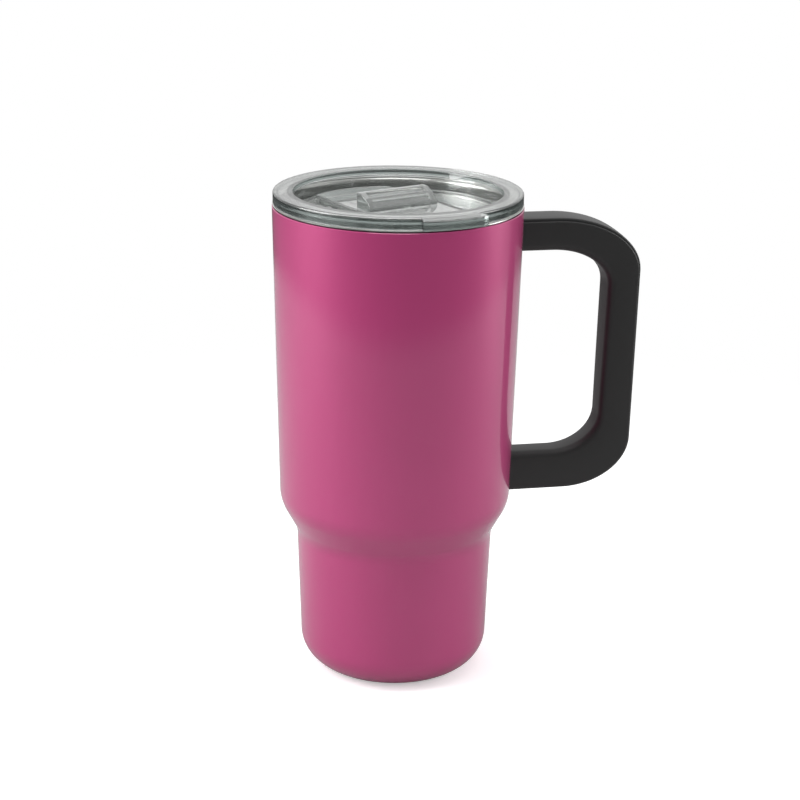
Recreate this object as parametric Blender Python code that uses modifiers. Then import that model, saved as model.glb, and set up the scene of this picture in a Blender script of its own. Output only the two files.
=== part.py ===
"""Insulated tumbler with a D handle and a clear press-in lid with a sliding closure.

The frame's origin is the centre of the base, on the cup's axis. +Z is up and +X points along the handle.
Lengths are in metres.
"""
import math

import bmesh
import bpy
from mathutils import Matrix, Vector

# General
GAP = 0.0003                  # space kept between touching pieces
SHEET = 0.0006                # thickness of the steel walls
ROUND_STEPS = 48              # steps round a turned piece
SMALL_STEPS = 24              # steps round a small or hidden one
MERGE = 0.00001

# Vessel
RIM_Z = 0.1740                # top of the steel lip
RIM_R = 0.0443                # outside of the cup at the rim
SHOULDER_TOP_R = 0.0420
SHOULDER_TOP_Z = 0.0645
SHOULDER_TOP_ROUND = 0.0149
NECK_R = 0.03585
NECK_Z = 0.05325
NECK_ROUND = 0.0121
BASE_R = 0.0340
BASE_ROUND = 0.0124
FOOT_R = 0.0215               # inner edge of the shell's base
FOOT_TURN_UP = 0.0020
BORE_R = 0.0415               # inside of the liner at the rim
VACUUM = 0.0026               # space between shell and liner on the lower body
LINER_FLOOR_Z = 0.0094        # underside of the liner's floor
LINER_FLOOR_ROUND = 0.0090
DISC_R = 0.0268
DISC_Z = 0.0024
DIMPLE_R = 0.0065
DIMPLE_RISE = 0.0016
EVACUATION_HOLE_R = 0.0012
PLUG_R = 0.0034
PLUG_H = 0.0012
BASE_PLATE_R = 0.0210
BASE_PLATE_T = 0.0008
GETTER_R = 0.0038
GETTER_H = 0.0022
GETTER_X = 0.0150
CLIP_T = 0.0003
CLIP_WIDTH = 0.0050
CLIP_FOOT = 0.0030

# Handle
ARM_START_X = 0.0400          # the arms are modelled from inside the wall and then trimmed to it
ARM_TOP_Z = 0.1680
ARM_TOP_T = 0.0119
ARM_LOW_Z = 0.0652
ARM_LOW_T = 0.0150
GRIP_OUT_TOP_X = 0.0886
GRIP_OUT_LOW_X = 0.0873
GRIP_T_TOP = 0.0119
GRIP_T_LOW = 0.0124
OUT_CORNER_TOP = (0.0323, 0.0205)
OUT_CORNER_LOW = (0.0248, 0.0187)
IN_CORNER_TOP = (0.0216, 0.0140)
IN_CORNER_LOW = (0.0172, 0.0137)
CORNER_STEPS = 7
WIDTH_TOP = 0.0150
WIDTH_LOW = 0.0116
HANDLE_ROUND = 0.0028         # rounding of the edges round the finger gap
LIP_ROUND = 0.0005            # rounding of the outer edges
LIP = 0.0009                  # side wall beside the trim strip
COVER_T = 0.0026
COVER_PROUD = 0.0011          # height of the trim strip above the walls beside it

# Brackets and screws
TAB_END_X = 0.0560
TAB_T = 0.0016
TAB_WIDTH = 0.0064
WELD_PLATE_T = 0.0014
WELD_PLATE_H = 0.0080
WELD_PLATE_WIDTH = 0.0072
UPPER_TAB_Z = 0.1608
LOWER_TAB_Z = 0.0735
SCREW_X = 0.0505
SCREW_R = 0.0015
SCREW_HEAD_R = 0.0025
SCREW_HEAD_H = 0.0014
SCREW_LENGTH = 0.0068

# Lid, in its own frame: +X is the direction in which the slider opens
LID_TURN = math.radians(-68)
LID_R = 0.0440
LID_SEAT_Z = RIM_Z + GAP
LID_TOP_Z = LID_SEAT_Z + 0.0040
WELL_R = 0.0370
WELL_FLOOR_R = 0.0360
DECK_Z = LID_TOP_Z - 0.0074
DECK_T = 0.0018
FLANGE_T = 0.0022
FLANGE_BAND = 0.0015          # width of the flange's turned-down edge
SKIRT_R = 0.0384
SKIRT_BOTTOM_Z = LID_TOP_Z - 0.0149
SEAL_RIB_R = 0.0397
SEAL_GROOVE_H = 0.0040
SEAL_RIB_T = 0.0010
SEAL_GROOVE_R = 0.0382
GASKET_FIN_R = 0.0404
TAB_R = 0.0485
TAB_TURN = math.radians(-8.5)        # from +X to the middle of the thumb tab
TAB_HALF_ANGLE = math.radians(14.5)
SLOT_RADIUS = 0.0270          # drinking slot: distance from the lid's axis
SLOT_WIDTH = 0.0090
SLOT_HALF_ANGLE = math.radians(14)  # to the centre of each round end
VENT_R = 0.0015
VENT_PLACE = (-0.0130, -0.0230)
VENT_COLLAR_R = 0.0032
VENT_COLLAR_H = 0.0012
RIB_Y = 0.0166
RIB_T = 0.0012
RIB_H = 0.0018
RIB_FRONT_X = 0.0240
RIB_REAR_X = -0.0255

# Slider
TRAVEL = 0.0140
PLATE_T = 0.0014
PLATE_HALF_WIDTH = 0.0155
PLATE_FRONT_R = 0.0352          # concentric with the well when the slider is open
PLATE_REAR_R = 0.0342           # concentric with the well when it is shut
PLATE_CORNER = 0.0020
GRIP_REAR_X = -0.0052
GRIP_CREST = 0.0014
GRIP_FRONT_X = 0.0040
GRIP_HALF_WIDTH = 0.0140
GRIP_SHOULDER = (0.0050, 0.0003)    # from the crest's edge to the corner that rounds the front
GRIP_FRONT_H = 0.0009
GRIP_TOP_Z = LID_TOP_Z - 0.0002
POCKET_COUNT = 2
POCKET_DEPTH = 0.0011
POCKET_FRAME = 0.0022           # at the ends
POCKET_EDGE = 0.0008            # above and below
POCKET_RIB = 0.0009
BUMP_X = 0.0075
BUMP_PITCH = 0.0070
BUMP_SIZE = (0.0008, 0.0019)    # half widths along X and Y
BUMP_H = 0.0003
LEG_REAR_X = -0.0160
LEG_LENGTH = 0.0060
LEG_Y = 0.0110
LEG_T = 0.0016
HOOK = 0.0012
HOOK_T = 0.0010


# ---------------------------------------------------------------- scene and materials

def clear_scene():
    for old in list(bpy.data.objects):
        bpy.data.objects.remove(old, do_unlink=True)


def new_collection(name):
    group = bpy.data.collections.new(name)
    bpy.context.scene.collection.children.link(group)
    return group


def material(name, colour, roughness, metallic=0.0, transmission=0.0):
    made = bpy.data.materials.new(name)
    made.use_nodes = True
    shader = made.node_tree.nodes["Principled BSDF"]
    shader.inputs["Base Color"].default_value = (*colour, 1.0)
    shader.inputs["Roughness"].default_value = roughness
    shader.inputs["Metallic"].default_value = metallic
    shader.inputs["Transmission Weight"].default_value = transmission
    made.diffuse_color = (*colour, 1.0)
    return made


clear_scene()
PARTS = new_collection("insulated_tumbler")
CUTTERS = new_collection("cutters")
PINK = material("pink_paint", (0.42, 0.06, 0.18), 0.15)
STEEL = material("brushed_steel", (0.62, 0.62, 0.61), 0.28, 1.0)
DARK_STEEL = material("screw_steel", (0.30, 0.30, 0.31), 0.35, 1.0)
BLACK = material("black_plastic", (0.021, 0.021, 0.021), 0.42)
BLACK_TRIM = material("black_trim", (0.026, 0.026, 0.025), 0.36)
CLEAR = material("clear_plastic", (0.90, 0.92, 0.91), 0.05, 0.0, 0.95)
SILICONE = material("silicone", (0.80, 0.80, 0.79), 0.45, 0.0, 0.40)
SOLDER = material("solder_glass", (0.10, 0.10, 0.11), 0.30)
GETTER_GREY = material("getter_alloy", (0.20, 0.20, 0.21), 0.70, 0.6)


# ---------------------------------------------------------------- outlines

def rounded(points, steps=4, closed=False):
    """A polyline whose corners (a, b, radius) are replaced by arcs."""
    path = []
    count = len(points)
    for index, (a, b, radius) in enumerate(points):
        corner = Vector((a, b))
        at_end = not closed and index in (0, count - 1)
        if radius == 0 or at_end:
            path.append(corner)
            continue
        before = (Vector(points[index - 1][:2]) - corner).normalized()
        after = (Vector(points[(index + 1) % count][:2]) - corner).normalized()
        half = before.angle(after) / 2
        centre = corner + (before + after).normalized() * radius / math.sin(half)
        first = corner + before * radius / math.tan(half) - centre
        last = corner + after * radius / math.tan(half) - centre
        sweep = first.angle_signed(last)
        for step in range(steps + 1):
            turn = Matrix.Rotation(-sweep * step / steps, 2)
            path.append(centre + turn @ first)
    return [tuple(point) for point in path]


def soft_corner(start, corner, end, steps):
    """A quarter turn from start to end that leaves both along the lines to the corner."""
    pull = 0.5523
    a, c, d = Vector(start), Vector(corner), Vector(end)
    lead = a + (c - a) * pull
    tail = d + (c - d) * pull
    path = []
    for step in range(steps + 1):
        t = step / steps
        point = a * (1 - t) ** 3 + lead * 3 * t * (1 - t) ** 2 + tail * 3 * t * t * (1 - t) + d * t ** 3
        path.append(tuple(point))
    return path


def arc(radius, start, end, steps):
    return [
        (radius * math.cos(start + (end - start) * step / steps),
         radius * math.sin(start + (end - start) * step / steps))
        for step in range(steps + 1)
    ]


# ---------------------------------------------------------------- solids

def add_object(name, mesh, group, look=None):
    made = bpy.data.objects.new(name, mesh)
    group.objects.link(made)
    if look:
        mesh.materials.append(look)
    if group is CUTTERS:
        made.hide_render = True
        made.display_type = "WIRE"
    return made


def turned(name, profile, group, look=None, ring=False, wall=0.0, steps=ROUND_STEPS):
    """A turned piece. The profile holds (radius, z) from the top down the outside."""
    mesh = bpy.data.meshes.new(name)
    edges = [(index, index + 1) for index in range(len(profile) - 1)]
    if ring:
        edges.append((len(profile) - 1, 0))
    mesh.from_pydata([(r, 0, z) for r, z in profile], edges, [])
    made = add_object(name, mesh, group, look)
    screw = made.modifiers.new("turn", "SCREW")
    screw.axis = "Z"
    screw.angle = math.tau
    screw.steps = steps
    screw.render_steps = steps
    screw.use_merge_vertices = True
    screw.merge_threshold = MERGE
    screw.use_smooth_shade = True
    if wall:
        solid = made.modifiers.new("wall", "SOLIDIFY")
        solid.thickness = wall
        solid.offset = -1
        solid.use_even_offset = True
    return made


def box(name, low, high, group, look=None):
    work = bmesh.new()
    bmesh.ops.create_cube(work, size=1)
    size = [b - a for a, b in zip(low, high)]
    middle = [(a + b) / 2 for a, b in zip(low, high)]
    bmesh.ops.scale(work, vec=size, verts=work.verts)
    bmesh.ops.translate(work, vec=middle, verts=work.verts)
    mesh = bpy.data.meshes.new(name)
    work.to_mesh(mesh)
    work.free()
    return add_object(name, mesh, group, look)


def rod(name, radius, low_z, high_z, place, group, look=None, steps=16):
    """An upright cylinder whose axis passes through place (x, y)."""
    work = bmesh.new()
    bmesh.ops.create_cone(work, cap_ends=True, segments=steps, radius1=radius, radius2=radius,
                          depth=high_z - low_z)
    bmesh.ops.translate(work, vec=(*place, (low_z + high_z) / 2), verts=work.verts)
    mesh = bpy.data.meshes.new(name)
    work.to_mesh(mesh)
    work.free()
    return add_object(name, mesh, group, look)


def plate(name, outline, low, high, group, look=None, upright=False):
    """A flat outline extruded along Z, or along Y when upright (the outline is then in X and Z)."""
    curve = bpy.data.curves.new(name, "CURVE")
    curve.dimensions = "2D"
    curve.fill_mode = "BOTH"
    curve.extrude = (high - low) / 2
    spline = curve.splines.new("POLY")
    spline.points.add(len(outline) - 1)
    for point, (a, b) in zip(spline.points, outline):
        point.co = (a, b, 0, 1)
    spline.use_cyclic_u = True
    source = bpy.data.objects.new(name, curve)
    PARTS.objects.link(source)
    middle = (low + high) / 2
    if upright:
        source.matrix_world = Matrix.Translation((0, middle, 0)) @ Matrix.Rotation(math.pi / 2, 4, "X")
    else:
        source.matrix_world = Matrix.Translation((0, 0, middle))
    place = source.matrix_world.copy()
    depsgraph = bpy.context.evaluated_depsgraph_get()
    mesh = bpy.data.meshes.new_from_object(source.evaluated_get(depsgraph))
    bpy.data.objects.remove(source, do_unlink=True)
    work = bmesh.new()
    work.from_mesh(mesh)
    bmesh.ops.remove_doubles(work, verts=work.verts, dist=MERGE)
    bmesh.ops.transform(work, matrix=place, verts=work.verts)
    bmesh.ops.recalc_face_normals(work, faces=work.faces)
    work.to_mesh(mesh)
    work.free()
    mesh.name = name
    return add_object(name, mesh, group, look)


def apply_boolean(target, tool, operation):
    step = target.modifiers.new(operation.lower(), "BOOLEAN")
    step.operation = operation
    step.solver = "EXACT"
    step.object = tool


def cut(target, *tools):
    for tool in tools:
        apply_boolean(target, tool, "DIFFERENCE")


def join(target, *tools):
    for tool in tools:
        apply_boolean(target, tool, "UNION")


def smooth(piece, degrees=35):
    piece.data.shade_smooth()
    piece.data.set_sharp_from_angle(angle=math.radians(degrees))


# ---------------------------------------------------------------- vessel

def shell_profile(swell=0.0):
    """The outside of the cup from the rim to the base, moved outwards by swell."""
    return rounded([
        (RIM_R + swell, RIM_Z - SHEET - GAP, 0),
        (SHOULDER_TOP_R + swell, SHOULDER_TOP_Z, SHOULDER_TOP_ROUND),
        (NECK_R + swell, NECK_Z, NECK_ROUND),
        (BASE_R + swell, -swell, BASE_ROUND),
        (FOOT_R, -swell, 0),
    ], steps=4)


def make_outer_shell():
    profile = shell_profile() + [(FOOT_R, FOOT_TURN_UP)]
    return turned("outer_shell", profile, PARTS, PINK, wall=SHEET)


def make_inner_liner():
    shoulder_r = SHOULDER_TOP_R - SHEET - VACUUM
    neck_r = NECK_R - SHEET - VACUUM
    floor_r = BASE_R - SHEET - VACUUM
    profile = rounded([
        (RIM_R - 0.0001, RIM_Z - SHEET, 0),
        (BORE_R + SHEET, RIM_Z - SHEET, 0.0010),
        (shoulder_r, SHOULDER_TOP_Z + 0.0015, 0.0120),
        (neck_r, NECK_Z + 0.0015, 0.0145),
        (floor_r, LINER_FLOOR_Z, LINER_FLOOR_ROUND),
        (0, LINER_FLOOR_Z, 0),
    ], steps=3)
    return turned("inner_liner", profile, PARTS, STEEL, wall=SHEET)


def make_outer_bottom():
    top_z = DISC_Z + SHEET
    profile = [
        (EVACUATION_HOLE_R, top_z + DIMPLE_RISE),
        (DIMPLE_R - 0.0015, top_z + DIMPLE_RISE),
        (DIMPLE_R, top_z),
        (DISC_R, top_z),
        (DISC_R, DISC_Z),
        (DIMPLE_R - SHEET / 2, DISC_Z),
        (DIMPLE_R - 0.0015 - SHEET / 2, DISC_Z + DIMPLE_RISE),
        (EVACUATION_HOLE_R, DISC_Z + DIMPLE_RISE),
    ]
    return turned("outer_bottom", profile, PARTS, STEEL, ring=True, steps=SMALL_STEPS)


def make_vacuum_plug():
    top_z = DISC_Z + DIMPLE_RISE - GAP
    profile = rounded([
        (0, top_z, 0),
        (PLUG_R, top_z, 0),
        (PLUG_R * 0.8, top_z - PLUG_H, 0.0006),
        (0, top_z - PLUG_H, 0),
    ], steps=2)
    return turned("vacuum_plug", profile, PARTS, SOLDER, steps=SMALL_STEPS)


def make_base_plate():
    edge = 0.0003
    profile = [
        (0, BASE_PLATE_T),
        (BASE_PLATE_R - edge, BASE_PLATE_T),
        (BASE_PLATE_R, BASE_PLATE_T - edge),
        (BASE_PLATE_R, edge),
        (BASE_PLATE_R - edge, 0),
        (0, 0),
    ]
    return turned("base_plate", profile, PARTS, STEEL)


def make_getter():
    seat_z = DISC_Z + SHEET + GAP
    rod("getter_tablet", GETTER_R, seat_z, seat_z + GETTER_H, (GETTER_X, 0), PARTS, GETTER_GREY)
    inside = GETTER_R + GAP
    outside = inside + CLIP_T
    under = seat_z + GETTER_H + GAP
    hat = [
        (-outside - CLIP_FOOT, seat_z),
        (-inside, seat_z),
        (-inside, under),
        (inside, under),
        (inside, seat_z),
        (outside + CLIP_FOOT, seat_z),
        (outside + CLIP_FOOT, seat_z + CLIP_T),
        (outside, seat_z + CLIP_T),
        (outside, under + CLIP_T),
        (-outside, under + CLIP_T),
        (-outside, seat_z + CLIP_T),
        (-outside - CLIP_FOOT, seat_z + CLIP_T),
    ]
    outline = [(GETTER_X + x, z) for x, z in hat]
    plate("getter_clip", outline, -CLIP_WIDTH / 2, CLIP_WIDTH / 2, PARTS, STEEL, upright=True)


# ---------------------------------------------------------------- handle

def handle_line(inset):
    """The handle's outer line, from the upper arm round the grip to the lower arm."""
    top = ARM_TOP_Z - inset
    low = ARM_LOW_Z + inset
    return loop_line(top, low, GRIP_OUT_TOP_X - inset, GRIP_OUT_LOW_X - inset,
                     [size - inset for size in OUT_CORNER_TOP], [size - inset for size in OUT_CORNER_LOW])


def finger_line():
    """The line round the finger gap."""
    return loop_line(ARM_TOP_Z - ARM_TOP_T, ARM_LOW_Z + ARM_LOW_T, GRIP_OUT_TOP_X - GRIP_T_TOP,
                     GRIP_OUT_LOW_X - GRIP_T_LOW, IN_CORNER_TOP, IN_CORNER_LOW)


def loop_line(top, low, grip_top_x, grip_low_x, top_corner, low_corner):
    def grip_x(z):
        return grip_low_x + (grip_top_x - grip_low_x) * (z - low) / (top - low)

    upper_end = top - top_corner[1]
    lower_end = low + low_corner[1]
    upper = soft_corner((grip_top_x - top_corner[0], top), (grip_top_x, top),
                        (grip_x(upper_end), upper_end), CORNER_STEPS)
    lower = soft_corner((grip_x(lower_end), lower_end), (grip_low_x, low),
                        (grip_low_x - low_corner[0], low), CORNER_STEPS)
    return [(ARM_START_X, top), *upper, *lower, (ARM_START_X, low)]


def half_width(z):
    """Half the handle's width across, which narrows towards the lower arm."""
    share = (z - ARM_LOW_Z) / (ARM_TOP_Z - ARM_LOW_Z)
    return (WIDTH_LOW + (WIDTH_TOP - WIDTH_LOW) * min(max(share, 0), 1)) / 2


def band(name, outer, inner, side_inset, group, look=None, outer_round=0.0, inner_round=0.0):
    """A flat band between two lines in X and Z, given the handle's width less side_inset a side."""
    work = bmesh.new()
    kind = work.verts.layers.int.new("kind")
    weight = work.edges.layers.float.new("bevel_weight_edge")
    chains = []
    for number, line in enumerate((outer, inner)):
        verts = [work.verts.new((x, 0, z)) for x, z in line]
        for vert in verts:
            vert[kind] = number
        chains.append([work.edges.new(pair) for pair in zip(verts, verts[1:])])
    bmesh.ops.bridge_loops(work, edges=chains[0] + chains[1])
    front = list(work.verts)
    extruded = bmesh.ops.extrude_face_region(work, geom=list(work.faces))["geom"]
    back = [item for item in extruded if isinstance(item, bmesh.types.BMVert)]
    for side, verts in ((-1, front), (1, back)):
        for vert in verts:
            vert.co.y = side * (half_width(vert.co.z) - side_inset)
    widest = max(outer_round, inner_round)
    for edge in work.edges:
        a, b = edge.verts
        if widest and a.co.y * b.co.y > 0 and a[kind] == b[kind]:
            edge[weight] = (outer_round, inner_round)[a[kind]] / widest
    bmesh.ops.recalc_face_normals(work, faces=work.faces)
    mesh = bpy.data.meshes.new(name)
    work.to_mesh(mesh)
    work.free()
    made = add_object(name, mesh, group, look)
    if widest:
        bevel = made.modifiers.new("edges", "BEVEL")
        bevel.limit_method = "WEIGHT"
        bevel.width = widest
        bevel.segments = 2
    return made


def bracket(name, tab_z):
    """A tab that stands out of the wall on a small welded plate."""
    wall_r = RIM_R
    tab = box(name, (ARM_START_X, -TAB_WIDTH / 2, tab_z - TAB_T / 2),
              (TAB_END_X, TAB_WIDTH / 2, tab_z + TAB_T / 2), PARTS, STEEL)
    weld = box(name + "_weld", (ARM_START_X, -WELD_PLATE_WIDTH / 2, tab_z - WELD_PLATE_H / 2),
               (wall_at(tab_z) + WELD_PLATE_T, WELD_PLATE_WIDTH / 2, tab_z + WELD_PLATE_H / 2), CUTTERS)
    hole = rod(name + "_hole", SCREW_R + GAP, tab_z - TAB_T, tab_z + TAB_T, (SCREW_X, 0), CUTTERS)
    join(tab, weld)
    cut(tab, WALL_CLEARANCE, hole)
    return tab


def wall_at(z):
    """The cup's outer radius at height z on the upper body."""
    share = (z - SHOULDER_TOP_Z) / (RIM_Z - SHOULDER_TOP_Z)
    return SHOULDER_TOP_R + (RIM_R - SHOULDER_TOP_R) * share


def bracket_pocket(name, tab_z):
    """The space inside an arm that clears its bracket."""
    tab = box(name, (ARM_START_X, -TAB_WIDTH / 2 - GAP, tab_z - TAB_T / 2 - GAP),
              (TAB_END_X + GAP, TAB_WIDTH / 2 + GAP, tab_z + TAB_T / 2 + GAP), CUTTERS)
    weld_half = WELD_PLATE_WIDTH / 2 + GAP
    half_height = WELD_PLATE_H / 2 + GAP
    weld = box(name + "_weld", (ARM_START_X - GAP, -weld_half, tab_z - half_height),
               (wall_at(tab_z) + WELD_PLATE_T + GAP, weld_half, tab_z + half_height),
               CUTTERS)
    join(tab, weld)
    return tab


def screw(name, head_z, downwards):
    """A pan-head screw; head_z is the outer face of its head."""
    sign = -1 if downwards else 1
    under_head = head_z + sign * SCREW_HEAD_H
    tip = under_head + sign * SCREW_LENGTH
    head = rod(name, SCREW_HEAD_R, min(head_z, under_head), max(head_z, under_head), (SCREW_X, 0),
               PARTS, DARK_STEEL)
    overlap = SCREW_HEAD_H / 2
    start = under_head - sign * overlap
    shank = rod(name + "_shank", SCREW_R, min(start, tip), max(start, tip), (SCREW_X, 0), CUTTERS)
    slot_depth = 0.0006
    inner = head_z + sign * slot_depth
    outer = head_z - sign * slot_depth
    join(head, shank)
    for turn, size in enumerate(((0.0016, 0.0004), (0.0004, 0.0016))):
        slot = box(f"{name}_slot_{turn}", (SCREW_X - size[0], -size[1], min(inner, outer)),
                   (SCREW_X + size[0], size[1], max(inner, outer)), CUTTERS)
        cut(head, slot)
    return head


def screw_clearance(name, head_z, downwards):
    """The counterbore and the shank's hole for a screw."""
    sign = -1 if downwards else 1
    outer = head_z - sign * 2 * COVER_T
    seat = head_z + sign * (SCREW_HEAD_H + GAP)
    tip = seat + sign * (SCREW_LENGTH + GAP)
    well = rod(name, SCREW_HEAD_R + GAP, min(outer, seat), max(outer, seat), (SCREW_X, 0), CUTTERS)
    start = seat - sign * SCREW_HEAD_H / 2
    shank = rod(name + "_shank", SCREW_R + GAP, min(start, tip), max(start, tip), (SCREW_X, 0), CUTTERS)
    join(well, shank)
    return well


def make_handle():
    floor = COVER_T + GAP
    upper_head = ARM_TOP_Z - floor - GAP
    lower_head = ARM_LOW_Z + floor + GAP
    core = band("handle_core", handle_line(COVER_PROUD), finger_line(), 0, PARTS, BLACK,
                outer_round=LIP_ROUND, inner_round=HANDLE_ROUND)
    channel = band("channel", handle_line(-COVER_T), handle_line(floor), LIP, CUTTERS)
    cut(core, channel)
    cut(core, bracket_pocket("upper_pocket", UPPER_TAB_Z), bracket_pocket("lower_pocket", LOWER_TAB_Z))
    cut(core, screw_clearance("upper_screw_hole", upper_head, True))
    cut(core, screw_clearance("lower_screw_hole", lower_head, False))
    cut(core, WALL_CLEARANCE)
    cover = band("handle_cover", handle_line(0), handle_line(COVER_T), LIP + GAP, PARTS, BLACK_TRIM,
                 outer_round=LIP_ROUND)
    cut(cover, WALL_CLEARANCE)
    bracket("upper_bracket", UPPER_TAB_Z)
    bracket("lower_bracket", LOWER_TAB_Z)
    screw("upper_screw", upper_head, True)
    screw("lower_screw", lower_head, False)
    for piece in (core, cover):
        smooth(piece)


# ---------------------------------------------------------------- lid

def make_lid_body():
    underside = DECK_Z - DECK_T
    groove_low = SKIRT_BOTTOM_Z + SEAL_RIB_T
    groove_high = groove_low + SEAL_GROOVE_H
    profile = rounded([
        (0, DECK_Z, 0),
        (WELL_FLOOR_R, DECK_Z, 0.0008),
        (WELL_R, LID_TOP_Z, 0.0005),
        (LID_R, LID_TOP_Z, 0.0007),
        (LID_R, LID_SEAT_Z, 0.0003),
        (LID_R - FLANGE_BAND, LID_SEAT_Z, 0),
        (LID_R - FLANGE_BAND, LID_TOP_Z - FLANGE_T, 0),
        (SKIRT_R + 0.0002, LID_TOP_Z - FLANGE_T, 0.0005),
        (SKIRT_R, groove_high + SEAL_RIB_T, 0),
        (SEAL_RIB_R, groove_high + SEAL_RIB_T, 0),
        (SEAL_RIB_R, groove_high, 0),
        (SEAL_GROOVE_R, groove_high, 0),
        (SEAL_GROOVE_R, groove_low, 0),
        (SEAL_RIB_R, groove_low, 0),
        (SEAL_RIB_R - 0.0003, SKIRT_BOTTOM_Z, 0),
        (WELL_R - 0.0004, SKIRT_BOTTOM_Z, 0),
        (WELL_R - 0.0006, underside, 0),
        (0, underside, 0),
    ], steps=1)
    lid = turned("lid_body", profile, PARTS, CLEAR)
    join(lid, lid_tab())
    for side in (-1, 1):
        rib = box(f"guide_rib_{side}", (RIB_REAR_X, side * RIB_Y - RIB_T / 2, DECK_Z - DECK_T / 2),
                  (RIB_FRONT_X, side * RIB_Y + RIB_T / 2, DECK_Z + RIB_H), CUTTERS)
        join(lid, rib)
    collar_top = DECK_Z + VENT_COLLAR_H
    join(lid, rod("vent_collar", VENT_COLLAR_R, DECK_Z - DECK_T / 2, collar_top, VENT_PLACE, CUTTERS))
    cut(lid, drinking_slot())
    cut(lid, rod("vent", VENT_R, underside - GAP, collar_top + GAP, VENT_PLACE, CUTTERS))
    for side in (-1, 1):
        slot = box(f"guide_slot_{side}",
                   (LEG_REAR_X - GAP, side * LEG_Y - LEG_T / 2 - GAP, underside - GAP),
                   (LEG_REAR_X + LEG_LENGTH + TRAVEL + GAP, side * LEG_Y + LEG_T / 2 + GAP, DECK_Z + GAP),
                   CUTTERS)
        cut(lid, slot)
    return lid


def lid_tab():
    """The thumb tab that stands out of the flange's edge."""
    start = TAB_TURN - TAB_HALF_ANGLE
    end = TAB_TURN + TAB_HALF_ANGLE
    inner = [(a, b, 0) for a, b in arc(LID_R - FLANGE_BAND / 2, end, start, 4)]
    outer = [(a, b, 0) for a, b in arc(TAB_R, start, end, 6)]
    outer[0] = (*outer[0][:2], 0.0012)
    outer[-1] = (*outer[-1][:2], 0.0012)
    outline = rounded(outer + inner, steps=3, closed=True)
    return plate("thumb_tab", outline, LID_SEAT_Z + GAP, LID_TOP_Z - 0.00005, CUTTERS)


def drinking_slot():
    """A curved slot with round ends through the deck, opposite the thumb tab."""
    half = SLOT_WIDTH / 2
    start = math.pi - SLOT_HALF_ANGLE
    end = math.pi + SLOT_HALF_ANGLE
    outline = arc(SLOT_RADIUS + half, start, end, 5)
    outline += round_end(end, half, end)[1:-1]
    outline += arc(SLOT_RADIUS - half, end, start, 5)
    outline += round_end(start, half, start + math.pi)[1:-1]
    return plate("drinking_slot", outline, DECK_Z - 2 * DECK_T, DECK_Z + DECK_T, CUTTERS)


def round_end(place, radius, first):
    """Half a turn round the point at angle place on the slot's centre line, starting at angle first."""
    x = SLOT_RADIUS * math.cos(place)
    y = SLOT_RADIUS * math.sin(place)
    return [(x + a, y + b) for a, b in arc(radius, first, first + math.pi, 6)]


def make_lid_gasket():
    low = SKIRT_BOTTOM_Z + SEAL_RIB_T + GAP
    high = low + SEAL_GROOVE_H - 2 * GAP
    inner = SEAL_GROOVE_R + GAP
    body = SEAL_RIB_R - GAP
    fin = 0.0007
    profile = [
        (inner, high),
        (body, high),
        (GASKET_FIN_R + 0.0001, high - fin / 2),
        (GASKET_FIN_R + 0.0001, high - fin),
        (body - 0.0002, high - 2 * fin),
        (body - 0.0002, low + 2 * fin),
        (GASKET_FIN_R, low + fin),
        (GASKET_FIN_R, low + fin / 2),
        (body, low),
        (inner, low),
    ]
    return turned("lid_gasket", profile, PARTS, SILICONE, ring=True)


def make_lid_slider():
    low = DECK_Z + GAP
    high = low + PLATE_T
    slider = plate("lid_slider", slider_outline(), low, high, PARTS, CLEAR)
    join(slider, slider_grip(high))
    for number in (-1, 0, 1):
        join(slider, slider_bump(number, high))
    for side in (-1, 1):
        join(slider, slider_leg(side, low))
    return slider


def slider_outline():
    """Straight sides between two arcs, each of which follows the well's wall at one end of the travel."""
    rear_half = math.asin(PLATE_HALF_WIDTH / PLATE_REAR_R)
    front_half = math.asin(PLATE_HALF_WIDTH / PLATE_FRONT_R)
    rear = [(a, b, 0) for a, b in arc(PLATE_REAR_R, math.pi - rear_half, math.pi + rear_half, 6)]
    front = [(a - TRAVEL, b, 0) for a, b in arc(PLATE_FRONT_R, -front_half, front_half, 6)]
    front[0] = (*front[0][:2], PLATE_CORNER)
    front[-1] = (*front[-1][:2], PLATE_CORNER)
    return rounded(rear + front, steps=3, closed=True)


def slider_grip(plate_top):
    """A wedge with an upright back and a curved front, which has pockets either side of a rib."""
    line = grip_line(plate_top)
    outline = [(GRIP_REAR_X, GRIP_TOP_Z), (GRIP_REAR_X, plate_top - PLATE_T / 2),
               (GRIP_FRONT_X, plate_top - PLATE_T / 2), *reversed(line)]
    wedge = plate("grip_wedge", outline, -GRIP_HALF_WIDTH, GRIP_HALF_WIDTH, CUTTERS, upright=True)
    length = sum((Vector(b) - Vector(a)).length for a, b in zip(line, line[1:]))
    pocket_length = (length - 2 * POCKET_EDGE - POCKET_RIB * (POCKET_COUNT - 1)) / POCKET_COUNT
    side = GRIP_HALF_WIDTH - POCKET_FRAME
    for number in range(POCKET_COUNT):
        start = POCKET_EDGE + (pocket_length + POCKET_RIB) * number
        distances = [start + pocket_length * step / 4 for step in range(5)]
        above = [off_line(line, distance, POCKET_DEPTH) for distance in distances]
        below = [off_line(line, distance, -POCKET_DEPTH) for distance in reversed(distances)]
        cut(wedge, plate(f"grip_pocket_{number}", above + below, -side, side, CUTTERS, upright=True))
    return wedge


def grip_line(plate_top):
    """The wedge's front in X and Z, from its crest down to its foot."""
    crest = (GRIP_REAR_X + GRIP_CREST, GRIP_TOP_Z)
    corner = (crest[0] + GRIP_SHOULDER[0], crest[1] - GRIP_SHOULDER[1])
    return soft_corner(crest, corner, (GRIP_FRONT_X, plate_top + GRIP_FRONT_H), 7)


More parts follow.
